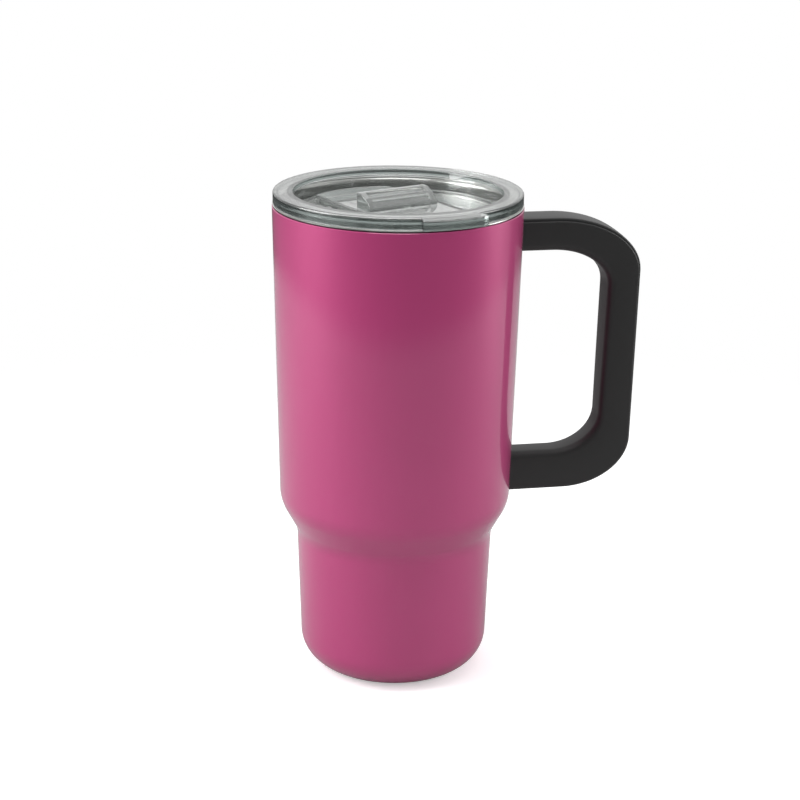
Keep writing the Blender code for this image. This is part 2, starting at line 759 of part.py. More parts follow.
def off_line(line, distance, offset):
    """The point at a distance along a line and offset to its left."""
    for a, b in zip(line, line[1:]):
        step = Vector(b) - Vector(a)
        if distance <= step.length or b == line[-1]:
            along = step.normalized()
            return tuple(Vector(a) + along * distance + Vector((-along.y, along.x)) * offset)
        distance -= step.length


def slider_bump(number, plate_top):
    """One of the three low ovals in front of the wedge."""
    outline = [(BUMP_X + a * BUMP_SIZE[0], number * BUMP_PITCH + b * BUMP_SIZE[1])
               for a, b in arc(1, 0, math.tau, 12)[:-1]]
    return plate(f"grip_bump_{number}", outline, plate_top - PLATE_T / 2, plate_top + BUMP_H, CUTTERS)


def slider_leg(side, plate_low):
    """A snap leg that passes through the deck and hooks under it."""
    under = DECK_Z - DECK_T - GAP
    bottom = under - HOOK_T
    inner = LEG_Y - LEG_T / 2
    outer = LEG_Y + LEG_T / 2
    leg = box(f"leg_{side}", (LEG_REAR_X, min(side * inner, side * outer), bottom),
              (LEG_REAR_X + LEG_LENGTH, max(side * inner, side * outer), plate_low + PLATE_T / 2), CUTTERS)
    middle = LEG_Y
    tip = outer + HOOK
    hook = box(f"hook_{side}", (LEG_REAR_X, min(side * middle, side * tip), bottom),
               (LEG_REAR_X + LEG_LENGTH, max(side * middle, side * tip), under), CUTTERS)
    join(leg, hook)
    return leg


def place_lid(pieces):
    """The lid's pieces hang on an empty on the cup's axis, turned as the lid sits."""
    axis = bpy.data.objects.new("lid_axis", None)
    PARTS.objects.link(axis)
    axis.rotation_euler = (0, 0, LID_TURN)
    for piece in pieces:
        piece.parent = axis


make_outer_shell()
make_inner_liner()
make_outer_bottom()
make_vacuum_plug()
make_base_plate()
make_getter()
WALL_CLEARANCE = turned("wall_clearance", [(0, RIM_Z)] + shell_profile(GAP) + [(0, -GAP)], CUTTERS)
make_handle()
place_lid([make_lid_body(), make_lid_gasket(), make_lid_slider()])
for tool in CUTTERS.objects:
    if tool.name.startswith(("thumb", "guide", "vent", "drinking", "grip", "leg", "hook")):
        tool.parent = bpy.data.objects["lid_axis"]
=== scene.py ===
"""The looks of the insulated tumbler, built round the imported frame. Lengths are in metres."""
import math

import bmesh
import bpy
from mathutils import Matrix, Vector


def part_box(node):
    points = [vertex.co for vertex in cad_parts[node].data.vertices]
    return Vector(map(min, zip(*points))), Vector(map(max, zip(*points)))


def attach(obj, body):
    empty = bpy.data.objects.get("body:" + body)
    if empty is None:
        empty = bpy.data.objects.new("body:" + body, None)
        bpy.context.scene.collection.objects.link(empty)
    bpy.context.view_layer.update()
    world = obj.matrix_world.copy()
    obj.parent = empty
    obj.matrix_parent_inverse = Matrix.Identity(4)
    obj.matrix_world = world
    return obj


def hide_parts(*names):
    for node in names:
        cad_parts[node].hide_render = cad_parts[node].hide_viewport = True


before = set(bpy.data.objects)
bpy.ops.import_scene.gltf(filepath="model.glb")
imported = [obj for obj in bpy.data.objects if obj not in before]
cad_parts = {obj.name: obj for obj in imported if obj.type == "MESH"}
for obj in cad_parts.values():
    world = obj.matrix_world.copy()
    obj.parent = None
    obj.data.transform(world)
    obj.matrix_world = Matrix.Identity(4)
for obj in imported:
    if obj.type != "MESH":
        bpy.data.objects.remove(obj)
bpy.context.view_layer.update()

# ---------------------------------------------------------------- sizes

# Read from the frame
RIM_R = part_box("outer_shell")[1][0]
PAINT_TOP_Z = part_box("outer_shell")[1][2]
LIP_TOP_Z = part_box("inner_liner")[1][2]
LID_TOP_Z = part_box("lid_body")[1][2]
SKIRT_BOTTOM_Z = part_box("lid_body")[0][2]
SLIDER_LOW_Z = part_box("lid_slider")[0][2]
ARM_TOP_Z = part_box("handle_cover")[1][2]
ARM_LOW_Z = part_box("handle_cover")[0][2]
WIDTH_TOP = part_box("handle_core")[1][1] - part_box("handle_core")[0][1]
BASE_PLATE_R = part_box("base_plate")[1][0]
BASE_PLATE_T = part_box("base_plate")[1][2]

# Vessel, as the part has it
GAP = 0.0003
SHEET = 0.0006
SHOULDER_TOP = (0.0420, 0.0645, 0.0149)     # radius, height and rounding of a corner
NECK = (0.03585, 0.05325, 0.0121)
BASE = (0.0340, 0.0, 0.0124)
FOOT_R = 0.0215
FOOT_TURN_UP = 0.0020
BORE_R = 0.0415
VACUUM = 0.0026
LINER_FLOOR = (0.0094, 0.0090)              # height and rounding

# Handle, as the part has it
GRIP_OUT_TOP_X = 0.0886
GRIP_OUT_LOW_X = 0.0873
GRIP_T_TOP = 0.0119
GRIP_T_LOW = 0.0124
ARM_TOP_T = 0.0119
ARM_LOW_T = 0.0150
OUT_CORNER_TOP = (0.0323, 0.0205)
OUT_CORNER_LOW = (0.0248, 0.0187)
IN_CORNER_TOP = (0.0216, 0.0140)
IN_CORNER_LOW = (0.0172, 0.0137)
ARM_START_X = 0.0400
WIDTH_LOW = 0.0116
HANDLE_ROUND = 0.0028
LIP_ROUND = 0.0005
LIP = 0.0009
COVER_T = 0.0026
COVER_PROUD = 0.0011

# Lid, as the part has it; +X is the direction in which the slider opens
LID_TURN = math.radians(-68)
LID_R = 0.0440
LID_SEAT_Z = LIP_TOP_Z + GAP
WELL_R = 0.0370
WELL_FLOOR_R = 0.0360
DECK_Z = LID_TOP_Z - 0.0074
DECK_T = 0.0018
FLANGE_T = 0.0022
FLANGE_BAND = 0.0015
SKIRT_R = 0.0384
SEAL_RIB_R = 0.0397
SEAL_GROOVE_H = 0.0040
SEAL_RIB_T = 0.0010
SEAL_GROOVE_R = 0.0382
GASKET_FIN_R = 0.0404
TAB_R = 0.0485
TAB_TURN = math.radians(-8.5)
TAB_HALF_ANGLE = math.radians(14.5)
SLOT_RADIUS = 0.0270
SLOT_WIDTH = 0.0090
SLOT_HALF_ANGLE = math.radians(14)
VENT_R = 0.0015
VENT_PLACE = (-0.0130, -0.0230)
VENT_COLLAR_R = 0.0032
VENT_COLLAR_H = 0.0012
RIB_Y = 0.0166
RIB_T = 0.0012
RIB_H = 0.0018
RIB_FRONT_X = 0.0240
RIB_REAR_X = -0.0255

# Slider, as the part has it
TRAVEL = 0.0140
PLATE_T = 0.0014
PLATE_HALF_WIDTH = 0.0155
PLATE_FRONT_R = 0.0352
PLATE_REAR_R = 0.0342
PLATE_CORNER = 0.0020
GRIP_REAR_X = -0.0052
GRIP_CREST = 0.0014
GRIP_FRONT_X = 0.0040
GRIP_HALF_WIDTH = 0.0140
GRIP_SHOULDER = (0.0050, 0.0003)
GRIP_FRONT_H = 0.0009
GRIP_TOP_Z = LID_TOP_Z - 0.0002
POCKET_COUNT = 2
POCKET_DEPTH = 0.0011
POCKET_FRAME = 0.0022
POCKET_EDGE = 0.0008
POCKET_RIB = 0.0009
BUMP_X = 0.0075
BUMP_PITCH = 0.0070
BUMP_SIZE = (0.0008, 0.0019)
BUMP_H = 0.0003
LEG_REAR_X = -0.0160
LEG_LENGTH = 0.0060
LEG_Y = 0.0110
LEG_T = 0.0016
HOOK = 0.0012
HOOK_T = 0.0010

# Meshes
FINE_STEPS = 192              # steps round a turned surface
MERGE = 0.00001               # a smaller radius is a point on the axis
SEAT_GAP = 0.0001             # between the handle's ends and the painted wall

# Colours; a pair is the darkest and the lightest of a cloudy one
PINK = ((0.430, 0.036, 0.160), (0.470, 0.042, 0.180))
LINER_STEEL = (0.62, 0.615, 0.60)
DISC_STEEL = (0.58, 0.58, 0.57)
SCREW_STEEL = (0.26, 0.26, 0.27)
HANDLE_BLACK = (0.013, 0.013, 0.013)
TRIM_BLACK = (0.016, 0.016, 0.016)
SILICONE = ((0.78, 0.79, 0.78), (0.86, 0.87, 0.86))
SOLDER_GLASS = ((0.07, 0.07, 0.08), (0.14, 0.14, 0.15))
GETTER = ((0.14, 0.14, 0.15), (0.26, 0.26, 0.27))
PAPER = ((0.92, 0.92, 0.92), (0.95, 0.95, 0.95))

# Clear plastic
PLASTIC_IOR = 1.56
PLASTIC_TINT = (0.93, 0.935, 0.93)
PLASTIC_SHADOW = (0.92, 0.93, 0.925)
PLASTIC_DEPTH = ((0.40, 0.455, 0.435), (0.44, 0.49, 0.47))
PLASTIC_DENSITY = 48.0
# Painted shade: the lid's outer faces are darkened towards this colour in place of the dark band that
# refraction and the surroundings would give them
RIM_PAINTED_SHADE = (0.16, 0.20, 0.19)
RIM_ROUGHNESS = 0.16
LID_HAZE = 0.02
SLIDER_HAZE = 0.08

# Camera
CAMERA_TURN = math.radians(-11)
CAMERA_DISTANCE = 0.680
CAMERA_HEIGHT = 0.324
CAMERA_PITCH = math.radians(18.16)
CAMERA_YAW = math.radians(0.13)
CAMERA_ROLL = math.radians(0.76)
CAMERA_LENS = 88.9
LIGHT_BOUNCES = 28            # clear plastic needs many

# Floor: the camera sees pale paper, and reflections see a pale sheet on a darker table
FLOOR_SIZE = 3.0
FLOOR_Z = -0.0001
FLOOR_FADE = (0.10, 0.42)     # distances from the cup's axis
FLOOR_GLOW = 0.35
FLOOR_IN_REFLECTIONS = (0.14, 0.14, 0.14)
SHEET_IN_REFLECTIONS = (0.47, 0.47, 0.47)
SHEET_SHIFT = 0.09            # the sheet's centre lies behind the cup
SHEET_EDGE = (0.47, 0.56)

# World, as the object reflects it
WORLD_BEHIND = 0.92           # brightness away from the camera
WORLD_FRONT = 0.18            # and on the camera's side
WORLD_BELOW = 0.35            # share that is left below the horizon

# Lights: degrees to the camera's right, distance, height, aim height, width, length, power
LEFT_KEY = (-78, 0.75, 0.42, 0.09, 0.55, 0.80, 8.0)
RIGHT_FILL = (98, 0.70, 0.22, 0.09, 0.30, 0.60, 2.4)
OVERHEAD = (0, 0.22, 0.98, 0.17, 0.50, 0.30, 1.6)
FRONT_FILL = (32, 1.1, 0.55, 0.09, 0.80, 0.80, 4.6)


# ---------------------------------------------------------------- outlines

def rounded(points, steps=8, closed=False):
    """A polyline whose corners (a, b, radius) are replaced by arcs."""
    path = []
    count = len(points)
    for index, (a, b, radius) in enumerate(points):
        corner = Vector((a, b))
        at_end = not closed and index in (0, count - 1)
        if radius == 0 or at_end:
            path.append(tuple(corner))
            continue
        before = (Vector(points[index - 1][:2]) - corner).normalized()
        after = (Vector(points[(index + 1) % count][:2]) - corner).normalized()
        half = before.angle(after) / 2
        centre = corner + (before + after).normalized() * radius / math.sin(half)
        first = corner + before * radius / math.tan(half) - centre
        last = corner + after * radius / math.tan(half) - centre
        sweep = first.angle_signed(last)
        for step in range(steps + 1):
            turn = Matrix.Rotation(-sweep * step / steps, 2)
            path.append(tuple(centre + turn @ first))
    return path


def soft_corner(start, corner, end, steps):
    """A quarter turn from start to end that leaves both along the lines to the corner."""
    pull = 0.5523
    a, c, d = Vector(start), Vector(corner), Vector(end)
    lead = a + (c - a) * pull
    tail = d + (c - d) * pull
    path = []
    for step in range(steps + 1):
        t = step / steps
        point = a * (1 - t) ** 3 + lead * 3 * t * (1 - t) ** 2 + tail * 3 * t * t * (1 - t) + d * t ** 3
        path.append(tuple(point))
    return path


def arc(radius, start, end, steps):
    return [
        (radius * math.cos(start + (end - start) * step / steps),
         radius * math.sin(start + (end - start) * step / steps))
        for step in range(steps + 1)
    ]


def circle(middle, radius, steps=40, stretch=(1, 1)):
    return [(middle[0] + a * stretch[0], middle[1] + b * stretch[1])
            for a, b in arc(radius, 0, math.tau, steps)[:-1]]


# ---------------------------------------------------------------- meshes

def add_object(name, mesh, look=None):
    made = bpy.data.objects.new(name, mesh)
    bpy.context.scene.collection.objects.link(made)
    if look:
        mesh.materials.clear()
        mesh.materials.append(look)
    return made


def finish_mesh(name, work, look=None, sharp=40):
    bmesh.ops.recalc_face_normals(work, faces=work.faces)
    mesh = bpy.data.meshes.new(name)
    work.to_mesh(mesh)
    work.free()
    mesh.shade_smooth()
    mesh.set_sharp_from_angle(angle=math.radians(sharp))
    return add_object(name, mesh, look)


def turned(name, profile, look=None, ring=False, steps=FINE_STEPS, sharp=40):
    """A turned surface from a profile of (radius, z) points; a ring's profile is a closed loop."""
    work = bmesh.new()
    rows = []
    for r, z in profile:
        if r < MERGE:
            centre = work.verts.new((0, 0, z))
            rows.append([centre] * steps)
        else:
            rows.append([
                work.verts.new((r * math.cos(math.tau * k / steps), r * math.sin(math.tau * k / steps), z))
                for k in range(steps)
            ])
    pairs = list(zip(rows, rows[1:]))
    if ring:
        pairs.append((rows[-1], rows[0]))
    for upper, lower in pairs:
        for k in range(steps):
            corners = [upper[k], lower[k], lower[(k + 1) % steps], upper[(k + 1) % steps]]
            unique = list(dict.fromkeys(corners))
            work.faces.new(unique)
    return finish_mesh(name, work, look, sharp)


def box(name, low, high, bevel=0.0):
    work = bmesh.new()
    bmesh.ops.create_cube(work, size=1)
    size = [b - a for a, b in zip(low, high)]
    middle = [(a + b) / 2 for a, b in zip(low, high)]
    bmesh.ops.scale(work, vec=size, verts=work.verts)
    bmesh.ops.translate(work, vec=middle, verts=work.verts)
    if bevel:
        bmesh.ops.bevel(work, geom=list(work.edges), offset=bevel, segments=3, profile=0.5, affect="EDGES")
    return finish_mesh(name, work)


def prism(name, outline, low, high, upright=False, bevel=0.0, segments=3):
    """A flat outline extruded along Z, or along Y when upright (the outline is then in X and Z)."""
    work = bmesh.new()
    if upright:
        verts = [work.verts.new((a, low, b)) for a, b in outline]
        move = Vector((0, high - low, 0))
    else:
        verts = [work.verts.new((a, b, low)) for a, b in outline]
        move = Vector((0, 0, high - low))
    face = work.faces.new(verts)
    extruded = bmesh.ops.extrude_face_region(work, geom=[face])["geom"]
    top = [item for item in extruded if isinstance(item, bmesh.types.BMVert)]
    bmesh.ops.translate(work, vec=move, verts=top)
    bmesh.ops.recalc_face_normals(work, faces=work.faces)
    if bevel:
        sharp = [edge for edge in work.edges if edge.calc_face_angle(0) > math.radians(25)]
        bmesh.ops.bevel(work, geom=sharp, offset=bevel, segments=segments, profile=0.5, affect="EDGES",
                        clamp_overlap=True)
    return finish_mesh(name, work)


def combine(target, tools, operation):
    """Joins the tools to the target, or cuts them from it, and removes them."""
    for tool in tools:
        step = target.modifiers.new("step", "BOOLEAN")
        step.operation = operation
        step.solver = "EXACT"
        step.object = tool
    depsgraph = bpy.context.evaluated_depsgraph_get()
    mesh = bpy.data.meshes.new_from_object(target.evaluated_get(depsgraph))
    target.modifiers.clear()
    target.data = mesh
    for tool in tools:
        bpy.data.objects.remove(tool, do_unlink=True)
    return target


def tidy_surface(piece, look, sharp=32):
    """Welds what the cuts left, and gives flat faces flat shading beside rounded ones."""
    work = bmesh.new()
    work.from_mesh(piece.data)
    bmesh.ops.remove_doubles(work, verts=work.verts, dist=0.000002)
    bmesh.ops.dissolve_degenerate(work, edges=work.edges, dist=0.000002)
    work.to_mesh(piece.data)
    work.free()
    piece.data.materials.clear()
    piece.data.materials.append(look)
    piece.data.shade_smooth()
    piece.data.set_sharp_from_angle(angle=math.radians(sharp))
    flat = piece.modifiers.new("flat_faces", "WEIGHTED_NORMAL")
    flat.keep_sharp = True
    flat.weight = 100


# ---------------------------------------------------------------- materials

def new_material(name):
    made = bpy.data.materials.new(name)
    made.use_nodes = True
    tree = made.node_tree
    return made, tree, tree.nodes["Principled BSDF"]


def link(tree, source, target):
    tree.links.new(source, target)


def noise(tree, scale, detail=3.0, vector=None, roughness=0.5):
    node = tree.nodes.new("ShaderNodeTexNoise")
    node.inputs["Scale"].default_value = scale
    node.inputs["Detail"].default_value = detail
    node.inputs["Roughness"].default_value = roughness
    if vector is None:
        vector = tree.nodes.new("ShaderNodeTexCoord").outputs["Object"]
    link(tree, vector, node.inputs["Vector"])
    return node.outputs["Fac"]


def remap(tree, value, before, after=(0, 1), smooth=False):
    """Maps one range of numbers to another, and holds what lies outside at the ends."""
    node = tree.nodes.new("ShaderNodeMapRange")
    node.interpolation_type = "SMOOTHSTEP" if smooth else "LINEAR"
    for socket, number in zip(("From Min", "From Max", "To Min", "To Max"), (*before, *after)):
        node.inputs[socket].default_value = number
    link(tree, value, node.inputs["Value"])
    return node.outputs["Result"]


def spread(tree, value, low, high):
    """Maps 0..1 to low..high."""
    return remap(tree, value, (0, 1), (low, high))


def maths(tree, operation, *terms):
    """A maths node whose terms are sockets or plain numbers."""
    node = tree.nodes.new("ShaderNodeMath")
    node.operation = operation
    for term, socket in zip(terms, node.inputs):
        if isinstance(term, float):
            socket.default_value = term
        else:
            link(tree, term, socket)
    return node.outputs[0]


def mix_shaders(tree, value, first, second):
    node = tree.nodes.new("ShaderNodeMixShader")
    link(tree, value, node.inputs["Fac"])
    link(tree, first.outputs[0], node.inputs[1])
    link(tree, second.outputs[0], node.inputs[2])
    return node


def light_path(tree, ray):
    return tree.nodes.new("ShaderNodeLightPath").outputs[ray]


def blend_colours(tree, value, first, second):
    node = tree.nodes.new("ShaderNodeMix")
    node.data_type = "RGBA"
    node.inputs["A"].default_value = (*first, 1)
    node.inputs["B"].default_value = (*second, 1)
    link(tree, value, node.inputs["Factor"])
    return node.outputs["Result"]


def bump(tree, value, strength, distance):
    node = tree.nodes.new("ShaderNodeBump")
    node.inputs["Strength"].default_value = strength
    node.inputs["Distance"].default_value = distance
    link(tree, value, node.inputs["Height"])
    return node.outputs["Normal"]


def radius_and_height(tree):
    """The distance from the object's Z axis, and the height."""
    split = tree.nodes.new("ShaderNodeSeparateXYZ")
    link(tree, tree.nodes.new("ShaderNodeTexCoord").outputs["Object"], split.inputs[0])
    flat = tree.nodes.new("ShaderNodeCombineXYZ")
    link(tree, split.outputs["X"], flat.inputs["X"])
    link(tree, split.outputs["Y"], flat.inputs["Y"])
    length = tree.nodes.new("ShaderNodeVectorMath")
    length.operation = "LENGTH"
    link(tree, flat.outputs[0], length.inputs[0])
    return length.outputs["Value"], split.outputs["Z"]


def lathe_lines(tree, scale):
    """A vector whose noise runs in rings round the object's axis."""
    radius, height = radius_and_height(tree)
    rings = tree.nodes.new("ShaderNodeCombineXYZ")
    link(tree, radius, rings.inputs["X"])
    link(tree, height, rings.inputs["Z"])
    scaled = tree.nodes.new("ShaderNodeVectorMath")
    scaled.operation = "SCALE"
    scaled.inputs["Scale"].default_value = scale
    link(tree, rings.outputs[0], scaled.inputs[0])
    return scaled.outputs[0]


def pink_lacquer():
    made, tree, shader = new_material("pink_lacquer")
    cloud = noise(tree, 26.0, 2.0)
    link(tree, blend_colours(tree, cloud, *PINK), shader.inputs["Base Color"])
    shader.inputs["Metallic"].default_value = 0.30
    grain = noise(tree, 5200.0, 2.0)
    link(tree, spread(tree, grain, 0.34, 0.46), shader.inputs["Roughness"])
    shader.inputs["Coat Weight"].default_value = 1.0
    shader.inputs["Coat Roughness"].default_value = 0.05
    shader.inputs["Coat IOR"].default_value = 1.5
    peel = noise(tree, 420.0, 2.0)
    link(tree, bump(tree, peel, 0.10, 0.00004), shader.inputs["Coat Normal"])
    link(tree, bump(tree, grain, 0.10, 0.00002), shader.inputs["Normal"])
    return made


def brushed_steel(name, colour, roughness, line_scale=2600.0):
    made, tree, shader = new_material(name)
    lines = noise(tree, 1.0, 4.0, lathe_lines(tree, line_scale), 0.65)
    broad = noise(tree, 60.0, 2.0)
    light = tuple(min(1.0, c * 1.12) for c in colour)
    dark = tuple(c * 0.86 for c in colour)
    link(tree, blend_colours(tree, lines, dark, light), shader.inputs["Base Color"])
    shader.inputs["Metallic"].default_value = 1.0
    fine = spread(tree, lines, roughness - 0.05, roughness + 0.07)
    link(tree, maths(tree, "MULTIPLY_ADD", broad, 0.06, fine), shader.inputs["Roughness"])
    shader.inputs["Anisotropic"].default_value = 0.55
    tangent = tree.nodes.new("ShaderNodeTangent")
    tangent.direction_type = "RADIAL"
    tangent.axis = "Z"
    link(tree, tangent.outputs[0], shader.inputs["Tangent"])
    link(tree, bump(tree, lines, 0.12, 0.00002), shader.inputs["Normal"])
    return made


def black_plastic(name, colour, roughness):
    made, tree, shader = new_material(name)
    cloud = noise(tree, 45.0, 3.0)
    light = tuple(c * 1.22 for c in colour)
    link(tree, blend_colours(tree, cloud, colour, light), shader.inputs["Base Color"])
    grain = noise(tree, 3400.0, 3.0)
    link(tree, spread(tree, grain, roughness - 0.06, roughness + 0.06), shader.inputs["Roughness"])
    link(tree, bump(tree, grain, 0.16, 0.00003), shader.inputs["Normal"])
    return made


def painted_shade_rim_mask(tree):
    """1 on the lid's outermost faces, below their top edge, where shade is painted on and the surface is
    made rougher.
    """
    radius, height = radius_and_height(tree)
    outside = remap(tree, radius, (LID_R - 0.0004, LID_R - 0.0001))
    under = remap(tree, height, (LID_TOP_Z - 0.0003, LID_TOP_Z - 0.0008))
    return maths(tree, "MULTIPLY", outside, under)


def clear_plastic(name, haze):
    """Clear moulded plastic, faintly green where it is thick, with painted shade darkening the lid's rim and
    a rougher surface there.
    """
    made, tree, shader = new_material(name)
    cloud = noise(tree, 30.0, 2.0)
    rim = painted_shade_rim_mask(tree)
    # Painted shade: the rim's outer faces get a darker base colour in place of the dark that refraction
    # would show there
    link(tree, blend_colours(tree, rim, PLASTIC_TINT, RIM_PAINTED_SHADE), shader.inputs["Base Color"])
    shader.inputs["Transmission Weight"].default_value = 1 - haze
    shader.inputs["IOR"].default_value = PLASTIC_IOR
    scuff = noise(tree, 900.0, 5.0, None, 0.7)
    polish = spread(tree, scuff, 0.0, 0.05)
    link(tree, maths(tree, "MULTIPLY_ADD", rim, RIM_ROUGHNESS, polish), shader.inputs["Roughness"])
    flow = noise(tree, 130.0, 1.0)
    link(tree, bump(tree, flow, 0.05, 0.0002), shader.inputs["Normal"])
    let_light_through(tree, shader, PLASTIC_SHADOW)
    body = tree.nodes.new("ShaderNodeVolumeAbsorption")
    link(tree, blend_colours(tree, cloud, *PLASTIC_DEPTH), body.inputs["Color"])
    body.inputs["Density"].default_value = PLASTIC_DENSITY
    link(tree, body.outputs[0], tree.nodes["Material Output"].inputs["Volume"])
    return made


def let_light_through(tree, shader, tint):
    """Shadow rays pass, so that what lies behind a clear piece is lit."""
    clear = tree.nodes.new("ShaderNodeBsdfTransparent")
    clear.inputs["Color"].default_value = (*tint, 1)
    mix = mix_shaders(tree, light_path(tree, "Is Shadow Ray"), shader, clear)
    link(tree, mix.outputs[0], tree.nodes["Material Output"].inputs["Surface"])


def silicone():
    made, tree, shader = new_material("silicone")
    cloud = noise(tree, 160.0, 3.0)
    link(tree, blend_colours(tree, cloud, *SILICONE), shader.inputs["Base Color"])
    shader.inputs["Transmission Weight"].default_value = 0.55
    shader.inputs["IOR"].default_value = 1.41
    grain = noise(tree, 2600.0, 2.0)
    link(tree, spread(tree, grain, 0.34, 0.46), shader.inputs["Roughness"])
    link(tree, bump(tree, grain, 0.10, 0.00002), shader.inputs["Normal"])
    return made


def solder_glass():
    made, tree, shader = new_material("solder_glass")
    bubbles = noise(tree, 2200.0, 4.0)
    link(tree, blend_colours(tree, bubbles, *SOLDER_GLASS), shader.inputs["Base Color"])
    link(tree, spread(tree, bubbles, 0.18, 0.36), shader.inputs["Roughness"])
    link(tree, bump(tree, bubbles, 0.25, 0.00005), shader.inputs["Normal"])
    return made


def getter_alloy():
    made, tree, shader = new_material("getter_alloy")
    grain = noise(tree, 4200.0, 5.0)
    link(tree, blend_colours(tree, grain, *GETTER), shader.inputs["Base Color"])
    shader.inputs["Metallic"].default_value = 0.6
    link(tree, spread(tree, grain, 0.6, 0.8), shader.inputs["Roughness"])
    link(tree, bump(tree, grain, 0.4, 0.00005), shader.inputs["Normal"])
    return made


# ---------------------------------------------------------------- vessel

def shell_profile(steps=16):
    return rounded([
        (RIM_R, PAINT_TOP_Z, 0),
        SHOULDER_TOP,
        NECK,
        BASE,
        (FOOT_R, 0, 0),
    ], steps)


def make_shell(look):
    """The painted wall: its outside, the turned-up foot, and the inside that faces the vacuum."""
    edge = 0.0002
    outside = shell_profile()
    outside[0] = (RIM_R, PAINT_TOP_Z - edge)
    inside = [(r - SHEET, z) for r, z in outside[:-1] if z >= BASE[2]]
    inner_base = rounded([
        (inside[-1][0], inside[-1][1], 0),
        (BASE[0] - SHEET, SHEET, BASE[2] - SHEET),
        (FOOT_R + SHEET, SHEET, 0),
    ], 16)[1:]
    foot = [(FOOT_R, FOOT_TURN_UP), (FOOT_R + SHEET, FOOT_TURN_UP)]
    loop = [(RIM_R - edge, PAINT_TOP_Z), *outside, *foot, *reversed(inner_base), *reversed(inside[1:]),
            (RIM_R - SHEET, PAINT_TOP_Z)]
    return turned("painted_shell", loop, look, ring=True)


def make_liner(look):
    """The steel cup: its underside, its inside and the rounded nose of its lip."""
    shoulder_r = SHOULDER_TOP[0] - SHEET - VACUUM
    neck_r = NECK[0] - SHEET - VACUUM
    floor_r = BASE[0] - SHEET - VACUUM
    floor_z, floor_round = LINER_FLOOR
    outer = [
        (BORE_R + SHEET, LIP_TOP_Z - SHEET, 0.0010),
        (shoulder_r, SHOULDER_TOP[1] + 0.0015, 0.0120),
        (neck_r, NECK[1] + 0.0015, 0.0145),
        (floor_r, floor_z, floor_round),
    ]
    lip_r = RIM_R - 0.0003
    nose_r = RIM_R - 0.0001
    underside = rounded([(lip_r, LIP_TOP_Z - SHEET, 0), *outer, (0, floor_z, 0)], 10)
    inner = [
        (BORE_R, LIP_TOP_Z, 0.0016),
        (shoulder_r - SHEET, SHOULDER_TOP[1] + 0.0015, 0.0126),
        (neck_r - SHEET, NECK[1] + 0.0015, 0.0139),
        (floor_r - SHEET, floor_z + SHEET, floor_round - SHEET),
    ]
    topside = rounded([(lip_r, LIP_TOP_Z, 0), *inner, (0, floor_z + SHEET, 0)], 10)
    nose = [(nose_r, LIP_TOP_Z - SHEET * 0.25), (nose_r, LIP_TOP_Z - SHEET * 0.75)]
    profile = list(reversed(topside)) + nose + underside
    return turned("steel_liner", profile, look)


def make_base_plate(look):
    """A flat disc with a rolled edge and two shallow turned rings."""
    edge = 0.0003
    groove = ((-0.0004, 0), (-0.0002, 0.00015), (0.0002, 0.00015), (0.0004, 0))
    profile = [(0, 0)]
    for ring_r in (0.0060, 0.0165):
        profile += [(ring_r + across, depth) for across, depth in groove]
    profile += rounded([
        (BASE_PLATE_R - 2 * edge, 0, 0),
        (BASE_PLATE_R, 0, edge),
        (BASE_PLATE_R, BASE_PLATE_T, edge),
        (BASE_PLATE_R - 2 * edge, BASE_PLATE_T, 0),
    ], 4)
    profile.append((0, BASE_PLATE_T))
    return turned("base_disc", profile, look, sharp=60)


# ---------------------------------------------------------------- handle

def loop_line(top, low, grip_top_x, grip_low_x, top_corner, low_corner, steps=28):
    def grip_x(z):
        return grip_low_x + (grip_top_x - grip_low_x) * (z - low) / (top - low)

    upper_end = top - top_corner[1]
    lower_end = low + low_corner[1]
    upper = soft_corner((grip_top_x - top_corner[0], top), (grip_top_x, top),
                        (grip_x(upper_end), upper_end), steps)
    lower = soft_corner((grip_x(lower_end), lower_end), (grip_low_x, low),
                        (grip_low_x - low_corner[0], low), steps)
    return [(ARM_START_X, top), *upper, *lower, (ARM_START_X, low)]


def handle_line(inset):
    return loop_line(ARM_TOP_Z - inset, ARM_LOW_Z + inset, GRIP_OUT_TOP_X - inset, GRIP_OUT_LOW_X - inset,
                     [size - inset for size in OUT_CORNER_TOP], [size - inset for size in OUT_CORNER_LOW])


def finger_line():
    return loop_line(ARM_TOP_Z - ARM_TOP_T, ARM_LOW_Z + ARM_LOW_T, GRIP_OUT_TOP_X - GRIP_T_TOP,
                     GRIP_OUT_LOW_X - GRIP_T_LOW, IN_CORNER_TOP, IN_CORNER_LOW)


def half_width(z):
    share = (z - ARM_LOW_Z) / (ARM_TOP_Z - ARM_LOW_Z)
    return (WIDTH_LOW + (WIDTH_TOP - WIDTH_LOW) * min(max(share, 0), 1)) / 2


def wall_radius(z):
    """The painted shell's outer radius at height z."""
    profile = shell_profile()
    for (r1, z1), (r2, z2) in zip(profile, profile[1:]):
        if z2 <= z <= z1 and z1 > z2:
            return r1 + (r2 - r1) * (z1 - z) / (z1 - z2)
    return RIM_R


def swept(name, outer, inner, section, look):
    """A body swept between two lines in X and Z. section(depth, half) gives its (inwards, across) points."""
    work = bmesh.new()
    rows = []
    last = len(outer) - 1
    for index, (far, near) in enumerate(zip(outer, inner)):
        a = Vector((far[0], 0, far[1]))
        b = Vector((near[0], 0, near[1]))
        inward = (b - a).normalized()
        row = []
        for depth, across in section((b - a).length, half_width(a.z)):
            point = a + inward * depth
            point.y = across
            if index in (0, last):
                reach = wall_radius(point.z) + SEAT_GAP
                point.x = math.sqrt(reach * reach - across * across)
            row.append(work.verts.new(point))
        rows.append(row)
    count = len(rows[0])
    for upper, lower in zip(rows, rows[1:]):
        for k in range(count):
            work.faces.new((upper[k], lower[k], lower[(k + 1) % count], upper[(k + 1) % count]))
    for row in (rows[0], rows[-1]):
        bmesh.ops.triangulate(work, faces=[work.faces.new(row)])
    return finish_mesh(name, work, look, 50)


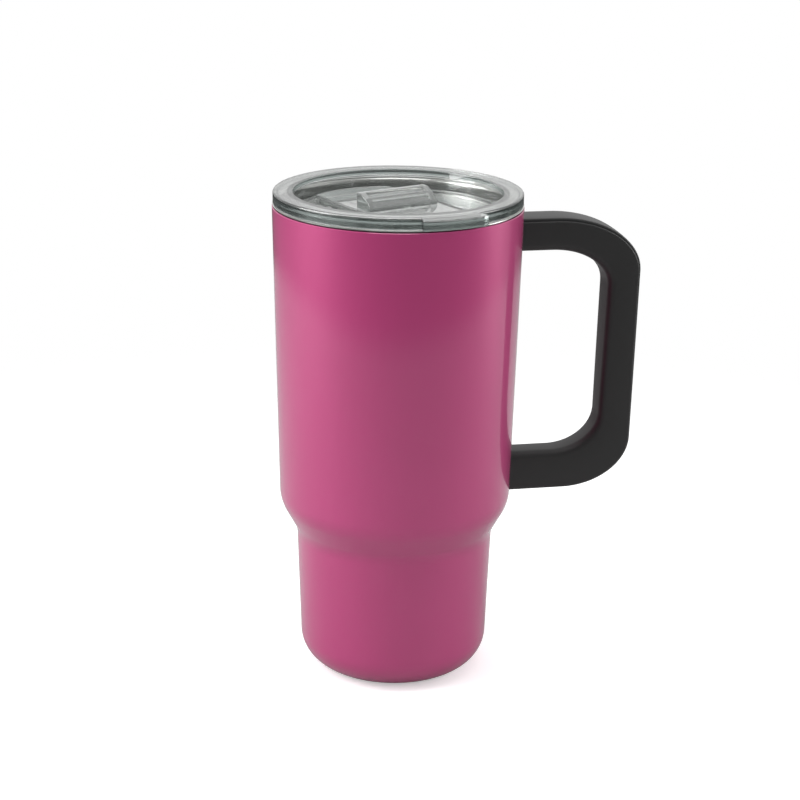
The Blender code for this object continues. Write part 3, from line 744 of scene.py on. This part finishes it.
def core_section(depth, half):
    """A rounded bar with a flat channel in its outer face."""
    floor = COVER_T + GAP
    one_side = rounded([
        (floor, 0, 0),
        (floor, half - LIP, 0.0002),
        (COVER_PROUD, half - LIP, 0.0002),
        (COVER_PROUD, half, LIP_ROUND),
        (depth, half, HANDLE_ROUND),
        (depth, 0, 0),
    ], 5)
    return one_side + [(a, -b) for a, b in reversed(one_side[1:-1])]


def cover_section(depth, half):
    """The trim strip: a flat bar with a slight crown and softened edges."""
    side = half - LIP - GAP
    crown = 0.00012
    one_side = rounded([
        (COVER_T, 0, 0),
        (COVER_T, side, 0.0003),
        (crown, side, 0.0006),
        (0, side * 0.4, 0),
        (0, 0, 0),
    ], 5)
    return one_side + [(a, -b) for a, b in reversed(one_side[1:-1])]


def make_handle(look, trim_look):
    core = swept("handle_bar", handle_line(0), finger_line(), core_section, look)
    cover = swept("handle_trim", handle_line(0), handle_line(COVER_T), cover_section, trim_look)
    return core, cover


# ---------------------------------------------------------------- lid

def lid_profile():
    """Deck, well wall, flange with its outer band, and skirt with its seal groove."""
    underside = DECK_Z - DECK_T
    groove_low = SKIRT_BOTTOM_Z + SEAL_RIB_T
    groove_high = groove_low + SEAL_GROOVE_H
    return rounded([
        (0, DECK_Z, 0),
        (WELL_FLOOR_R, DECK_Z, 0.0008),
        (WELL_R, LID_TOP_Z, 0.0005),
        (LID_R, LID_TOP_Z, 0.0007),
        (LID_R, LID_SEAT_Z, 0.0003),
        (LID_R - FLANGE_BAND, LID_SEAT_Z, 0.0002),
        (LID_R - FLANGE_BAND, LID_TOP_Z - FLANGE_T, 0.0004),
        (SKIRT_R + 0.0002, LID_TOP_Z - FLANGE_T, 0.0005),
        (SKIRT_R, groove_high + SEAL_RIB_T, 0.0002),
        (SEAL_RIB_R, groove_high + SEAL_RIB_T, 0.0002),
        (SEAL_RIB_R, groove_high, 0.0001),
        (SEAL_GROOVE_R, groove_high, 0.0001),
        (SEAL_GROOVE_R, groove_low, 0.0001),
        (SEAL_RIB_R, groove_low, 0.0001),
        (SEAL_RIB_R - 0.0003, SKIRT_BOTTOM_Z, 0.0003),
        (WELL_R - 0.0004, SKIRT_BOTTOM_Z, 0.0003),
        (WELL_R - 0.0006, underside, 0.0005),
        (0, underside, 0),
    ], 4)


def thumb_tab():
    start = TAB_TURN - TAB_HALF_ANGLE
    end = TAB_TURN + TAB_HALF_ANGLE
    inner = [(a, b, 0) for a, b in arc(LID_R - FLANGE_BAND / 2, end, start, 24)]
    outer = [(a, b, 0) for a, b in arc(TAB_R, start, end, 24)]
    outer[0] = (*outer[0][:2], 0.0007)
    outer[-1] = (*outer[-1][:2], 0.0007)
    outline = rounded(outer + inner, 4, closed=True)
    return prism("thumb_tab", outline, LID_SEAT_Z + GAP, LID_TOP_Z - 0.00005, bevel=0.0003)


def drinking_slot():
    half = SLOT_WIDTH / 2
    start = math.pi - SLOT_HALF_ANGLE
    end = math.pi + SLOT_HALF_ANGLE
    outline = arc(SLOT_RADIUS + half, start, end, 16)
    outline += round_end(end, half, end)[1:-1]
    outline += arc(SLOT_RADIUS - half, end, start, 16)
    outline += round_end(start, half, start + math.pi)[1:-1]
    return prism("drinking_slot", outline, DECK_Z - 2 * DECK_T, DECK_Z + DECK_T)


def round_end(place, radius, first):
    """Half a circle that closes the slot at one end."""
    x = SLOT_RADIUS * math.cos(place)
    y = SLOT_RADIUS * math.sin(place)
    return [(x + a, y + b) for a, b in arc(radius, first, first + math.pi, 16)]


def make_lid(look):
    """One moulding: tab, collar and guide ribs joined on; slots and vent cut through the deck."""
    underside = DECK_Z - DECK_T
    lid = turned("lid_moulding", lid_profile())
    ribs = [
        box(f"rib_{side}", (RIB_REAR_X, side * RIB_Y - RIB_T / 2, DECK_Z - DECK_T / 2),
            (RIB_FRONT_X, side * RIB_Y + RIB_T / 2, DECK_Z + RIB_H), 0.0003)
        for side in (-1, 1)
    ]
    collar_low = DECK_Z - DECK_T / 2
    collar_top = DECK_Z + VENT_COLLAR_H
    collar = prism("vent_collar", circle(VENT_PLACE, VENT_COLLAR_R), collar_low, collar_top, bevel=0.0003)
    combine(lid, [thumb_tab(), collar, *ribs], "UNION")
    slots = [
        box(f"guide_slot_{side}", (LEG_REAR_X - GAP, side * LEG_Y - LEG_T / 2 - GAP, underside - GAP),
            (LEG_REAR_X + LEG_LENGTH + TRAVEL + GAP, side * LEG_Y + LEG_T / 2 + GAP, DECK_Z + GAP))
        for side in (-1, 1)
    ]
    vent = prism("vent", circle(VENT_PLACE, VENT_R), underside - GAP, collar_top + GAP)
    combine(lid, [drinking_slot(), vent, *slots], "DIFFERENCE")
    tidy_surface(lid, look)
    return lid


def make_gasket(look):
    low = SKIRT_BOTTOM_Z + SEAL_RIB_T + GAP
    high = low + SEAL_GROOVE_H - 2 * GAP
    inner = SEAL_GROOVE_R + GAP
    body = SEAL_RIB_R - GAP
    fin = 0.0007
    soft = 0.00015
    profile = rounded([
        (inner, high, soft),
        (body, high, soft),
        (GASKET_FIN_R + 0.0001, high - fin / 2, soft),
        (GASKET_FIN_R + 0.0001, high - fin, soft),
        (body - 0.0002, high - 2 * fin, soft),
        (body - 0.0002, low + 2 * fin, soft),
        (GASKET_FIN_R, low + fin, soft),
        (GASKET_FIN_R, low + fin / 2, soft),
        (body, low, soft),
        (inner, low, soft),
    ], 3, closed=True)
    return turned("seal_ring", profile, look, ring=True)


def grip_line(plate_top):
    """The wedge's front in X and Z, from its crest down to its foot."""
    crest = (GRIP_REAR_X + GRIP_CREST, GRIP_TOP_Z)
    corner = (crest[0] + GRIP_SHOULDER[0], crest[1] - GRIP_SHOULDER[1])
    return soft_corner(crest, corner, (GRIP_FRONT_X, plate_top + GRIP_FRONT_H), 24)


def off_line(line, distance, offset):
    """The point at a distance along a line and offset to its left."""
    for a, b in zip(line, line[1:]):
        step = Vector(b) - Vector(a)
        if distance <= step.length or b == line[-1]:
            along = step.normalized()
            return tuple(Vector(a) + along * distance + Vector((-along.y, along.x)) * offset)
        distance -= step.length


def grip_wedge(plate_top):
    """A wedge with an upright back and a curved front, which has pockets either side of a rib."""
    line = grip_line(plate_top)
    outline = [(GRIP_REAR_X, GRIP_TOP_Z), (GRIP_REAR_X, plate_top - PLATE_T / 2),
               (GRIP_FRONT_X, plate_top - PLATE_T / 2), *reversed(line)]
    wedge = prism("grip_wedge", outline, -GRIP_HALF_WIDTH, GRIP_HALF_WIDTH, upright=True, bevel=0.0004)
    length = sum((Vector(b) - Vector(a)).length for a, b in zip(line, line[1:]))
    pocket_length = (length - 2 * POCKET_EDGE - POCKET_RIB * (POCKET_COUNT - 1)) / POCKET_COUNT
    side = GRIP_HALF_WIDTH - POCKET_FRAME
    pockets = []
    for number in range(POCKET_COUNT):
        start = POCKET_EDGE + (pocket_length + POCKET_RIB) * number
        distances = [start + pocket_length * step / 12 for step in range(13)]
        above = [off_line(line, distance, POCKET_DEPTH) for distance in distances]
        below = [off_line(line, distance, -POCKET_DEPTH) for distance in reversed(distances)]
        pockets.append(prism(f"pocket_{number}", above + below, -side, side, upright=True, bevel=0.0003))
    return combine(wedge, pockets, "DIFFERENCE")


def slider_outline():
    """Straight sides between two arcs, each of which follows the well's wall at one end of the travel."""
    rear_half = math.asin(PLATE_HALF_WIDTH / PLATE_REAR_R)
    front_half = math.asin(PLATE_HALF_WIDTH / PLATE_FRONT_R)
    rear = [(a, b, 0) for a, b in arc(PLATE_REAR_R, math.pi - rear_half, math.pi + rear_half, 24)]
    front = [(a - TRAVEL, b, 0) for a, b in arc(PLATE_FRONT_R, -front_half, front_half, 24)]
    # The corners need straight runs, so the arcs' first and last points make way for them
    corners = [(*front[0][:2], PLATE_CORNER), *front[3:-3], (*front[-1][:2], PLATE_CORNER)]
    return rounded(rear + corners, 8, closed=True)


def slider_bump(number, plate_top):
    """One of the three low ovals in front of the wedge."""
    outline = circle((BUMP_X, number * BUMP_PITCH), 1, 32, BUMP_SIZE)
    return prism(f"bump_{number}", outline, plate_top - PLATE_T / 2, plate_top + BUMP_H, bevel=0.00012)


def slider_leg(side, plate_low):
    """A leg with a hook that snaps under the deck."""
    under = DECK_Z - DECK_T - GAP
    inner = LEG_Y - LEG_T / 2
    outer = LEG_Y + LEG_T / 2
    tip = outer + HOOK
    outline = [
        (side * inner, plate_low + PLATE_T / 2),
        (side * outer, plate_low + PLATE_T / 2),
        (side * outer, under),
        (side * tip, under),
        (side * tip, under - HOOK_T * 0.4),
        (side * outer, SLIDER_LOW_Z),
        (side * inner, SLIDER_LOW_Z),
    ]
    work = bmesh.new()
    verts = [work.verts.new((LEG_REAR_X, y, z)) for y, z in outline]
    face = work.faces.new(verts)
    extruded = bmesh.ops.extrude_face_region(work, geom=[face])["geom"]
    far = [item for item in extruded if isinstance(item, bmesh.types.BMVert)]
    bmesh.ops.translate(work, vec=(LEG_LENGTH, 0, 0), verts=far)
    return finish_mesh(f"leg_{side}", work)


def make_slider(look):
    low = DECK_Z + GAP
    high = low + PLATE_T
    slider = prism("slider_moulding", slider_outline(), low, high, bevel=0.0003)
    bumps = [slider_bump(number, high) for number in (-1, 0, 1)]
    legs = [slider_leg(side, low) for side in (-1, 1)]
    combine(slider, [grip_wedge(high), *bumps, *legs], "UNION")
    tidy_surface(slider, look)
    return slider


# ---------------------------------------------------------------- stage

def from_camera(turn, distance, height):
    """A place at an angle to the right of the camera, seen from the cup's axis."""
    angle = CAMERA_TURN - math.pi / 2 + turn
    return Vector((math.cos(angle) * distance, math.sin(angle) * distance, height))


def smooth_distance(tree, place, centre, edge):
    """0 within edge[0] of the centre, rising to 1 at edge[1]."""
    distance = tree.nodes.new("ShaderNodeVectorMath")
    distance.operation = "DISTANCE"
    distance.inputs[1].default_value = centre
    link(tree, place, distance.inputs[0])
    return remap(tree, distance.outputs["Value"], edge, smooth=True)


def floor_finish():
    """Pale paper that fades into the white backdrop; reflections see a sheet on a darker table."""
    made, tree, paper = new_material("pale_floor")
    cloud = noise(tree, 3.0, 2.0)
    link(tree, blend_colours(tree, cloud, *PAPER), paper.inputs["Base Color"])
    paper.inputs["Roughness"].default_value = 0.9
    paper.inputs["Specular IOR Level"].default_value = 0.1
    paper.inputs["Emission Color"].default_value = (1, 1, 1, 1)
    paper.inputs["Emission Strength"].default_value = FLOOR_GLOW
    place = tree.nodes.new("ShaderNodeTexCoord").outputs["Object"]
    table = tree.nodes.new("ShaderNodeBsdfDiffuse")
    off_sheet = smooth_distance(tree, place, from_camera(math.pi, SHEET_SHIFT, 0), SHEET_EDGE)
    shade = blend_colours(tree, off_sheet, SHEET_IN_REFLECTIONS, FLOOR_IN_REFLECTIONS)
    link(tree, shade, table.inputs["Color"])
    to_camera = light_path(tree, "Is Camera Ray")
    seen = mix_shaders(tree, to_camera, table, paper)
    fade = maths(tree, "MULTIPLY", smooth_distance(tree, place, (0, 0, 0), FLOOR_FADE), to_camera)
    gone = tree.nodes.new("ShaderNodeBsdfTransparent")
    whole = mix_shaders(tree, fade, seen, gone)
    link(tree, whole.outputs[0], tree.nodes["Material Output"].inputs["Surface"])
    return made


def add_floor():
    work = bmesh.new()
    bmesh.ops.create_grid(work, x_segments=8, y_segments=8, size=FLOOR_SIZE)
    floor = finish_mesh("floor", work, floor_finish())
    floor.location.z = FLOOR_Z


def add_world():
    """A pale studio: bright above and at the back, dimmer below and round the camera."""
    world = bpy.data.worlds.new("studio")
    bpy.context.scene.world = world
    world.use_nodes = True
    tree = world.node_tree
    direction = tree.nodes.new("ShaderNodeTexCoord").outputs["Generated"]
    facing = tree.nodes.new("ShaderNodeVectorMath")
    facing.operation = "DOT_PRODUCT"
    facing.inputs[1].default_value = from_camera(0, 1, 0.25).normalized()
    link(tree, direction, facing.inputs[0])
    split = tree.nodes.new("ShaderNodeSeparateXYZ")
    link(tree, direction, split.inputs[0])
    around = remap(tree, facing.outputs["Value"], (-0.2, 0.85), (WORLD_BEHIND, WORLD_FRONT), smooth=True)
    below = remap(tree, split.outputs["Z"], (-0.35, 0.10), (WORLD_BELOW, 1.0), smooth=True)
    studio = tree.nodes["Background"]
    link(tree, maths(tree, "MULTIPLY", around, below), studio.inputs["Strength"])
    backdrop = tree.nodes.new("ShaderNodeBackground")
    for background in (studio, backdrop):
        background.inputs["Color"].default_value = (1, 1, 1, 1)
    seen = mix_shaders(tree, light_path(tree, "Is Camera Ray"), studio, backdrop)
    link(tree, seen.outputs[0], tree.nodes["World Output"].inputs["Surface"])


def softbox(name, turn, distance, height, aim, width, length, power):
    light = bpy.data.lights.new(name, "AREA")
    light.shape = "RECTANGLE"
    light.size = width
    light.size_y = length
    light.energy = power
    made = bpy.data.objects.new(name, light)
    made.location = from_camera(math.radians(turn), distance, height)
    made.rotation_euler = (Vector((0, 0, aim)) - made.location).to_track_quat("-Z", "Y").to_euler()
    bpy.context.scene.collection.objects.link(made)
    return made


def keep_off(light, pieces):
    """The light misses these pieces, whose clear plastic would show it as a hard white patch."""
    missed = bpy.data.collections.new(f"{light.name}_misses")
    for piece in pieces:
        missed.objects.link(piece)
    for item in missed.collection_objects:
        item.light_linking.link_state = "EXCLUDE"
    light.light_linking.receiver_collection = missed


def add_lights(clear_pieces):
    softbox("left_key", *LEFT_KEY)
    right = softbox("right_fill", *RIGHT_FILL)
    right.visible_transmission = False
    keep_off(right, clear_pieces)
    softbox("overhead", *OVERHEAD)
    front = softbox("front_fill", *FRONT_FILL)
    front.visible_glossy = False
    front.visible_transmission = False


def add_camera():
    data = bpy.data.cameras.new("camera")
    data.lens = CAMERA_LENS
    data.clip_start = 0.01
    camera = bpy.data.objects.new("camera", data)
    ahead = Vector((math.sin(CAMERA_YAW) * math.cos(CAMERA_PITCH),
                    math.cos(CAMERA_YAW) * math.cos(CAMERA_PITCH),
                    -math.sin(CAMERA_PITCH)))
    right = ahead.cross(Vector((0, 0, 1))).normalized()
    up = right.cross(ahead)
    rolled_right = right * math.cos(CAMERA_ROLL) + up * math.sin(CAMERA_ROLL)
    rolled_up = up * math.cos(CAMERA_ROLL) - right * math.sin(CAMERA_ROLL)
    axes = Matrix((rolled_right, rolled_up, -ahead)).transposed().to_4x4()
    place = Matrix.Translation((0, -CAMERA_DISTANCE, CAMERA_HEIGHT)) @ axes
    camera.matrix_world = Matrix.Rotation(CAMERA_TURN, 4, "Z") @ place
    bpy.context.scene.collection.objects.link(camera)
    bpy.context.scene.camera = camera


# ---------------------------------------------------------------- assembly

def ride(piece, body, node):
    """The piece moves with the body and takes the node's place."""
    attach(piece, body)
    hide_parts(node)


def dress_nodes(looks):
    """Materials on the nodes whose shape is kept."""
    for name, look in looks.items():
        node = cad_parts[name]
        for slot in node.material_slots:
            slot.material = look


def main():
    steel = brushed_steel("brushed_steel", LINER_STEEL, 0.17)
    disc_steel = brushed_steel("turned_steel", DISC_STEEL, 0.30, 1800.0)
    screw_steel = brushed_steel("screw_steel", SCREW_STEEL, 0.34, 3200.0)
    black = black_plastic("black_plastic", HANDLE_BLACK, 0.50)
    trim = black_plastic("black_trim", TRIM_BLACK, 0.44)
    clear = clear_plastic("clear_plastic", LID_HAZE)
    hazy = clear_plastic("hazy_plastic", SLIDER_HAZE)
    rubber = silicone()

    ride(make_shell(pink_lacquer()), "vessel", "outer_shell")
    ride(make_liner(steel), "vessel", "inner_liner")
    ride(make_base_plate(disc_steel), "vessel", "base_plate")
    core, cover = make_handle(black, trim)
    ride(core, "vessel", "handle_core")
    ride(cover, "vessel", "handle_cover")

    lid_pieces = {
        "lid_body": (make_lid(clear), "lid", "clear_plastic"),
        "lid_gasket": (make_gasket(rubber), "lid", "silicone"),
        "lid_slider": (make_slider(hazy), "slider", "clear_plastic"),
    }
    for node, (piece, body, slot) in lid_pieces.items():
        piece.data.transform(Matrix.Rotation(LID_TURN, 4, "Z"))
        ride(piece, body, node)

    dress_nodes({
        "outer_bottom": disc_steel,
        "vacuum_plug": solder_glass(),
        "getter_tablet": getter_alloy(),
        "getter_clip": disc_steel,
        "upper_bracket": disc_steel,
        "lower_bracket": disc_steel,
        "upper_screw": screw_steel,
        "lower_screw": screw_steel,
    })

    add_floor()
    add_world()
    add_lights([piece for piece, body, slot in lid_pieces.values()])
    add_camera()
    scene = bpy.context.scene
    scene.view_settings.view_transform = "Standard"
    scene.cycles.max_bounces = LIGHT_BOUNCES
    scene.cycles.transmission_bounces = LIGHT_BOUNCES
    scene.cycles.transparent_max_bounces = LIGHT_BOUNCES


main()
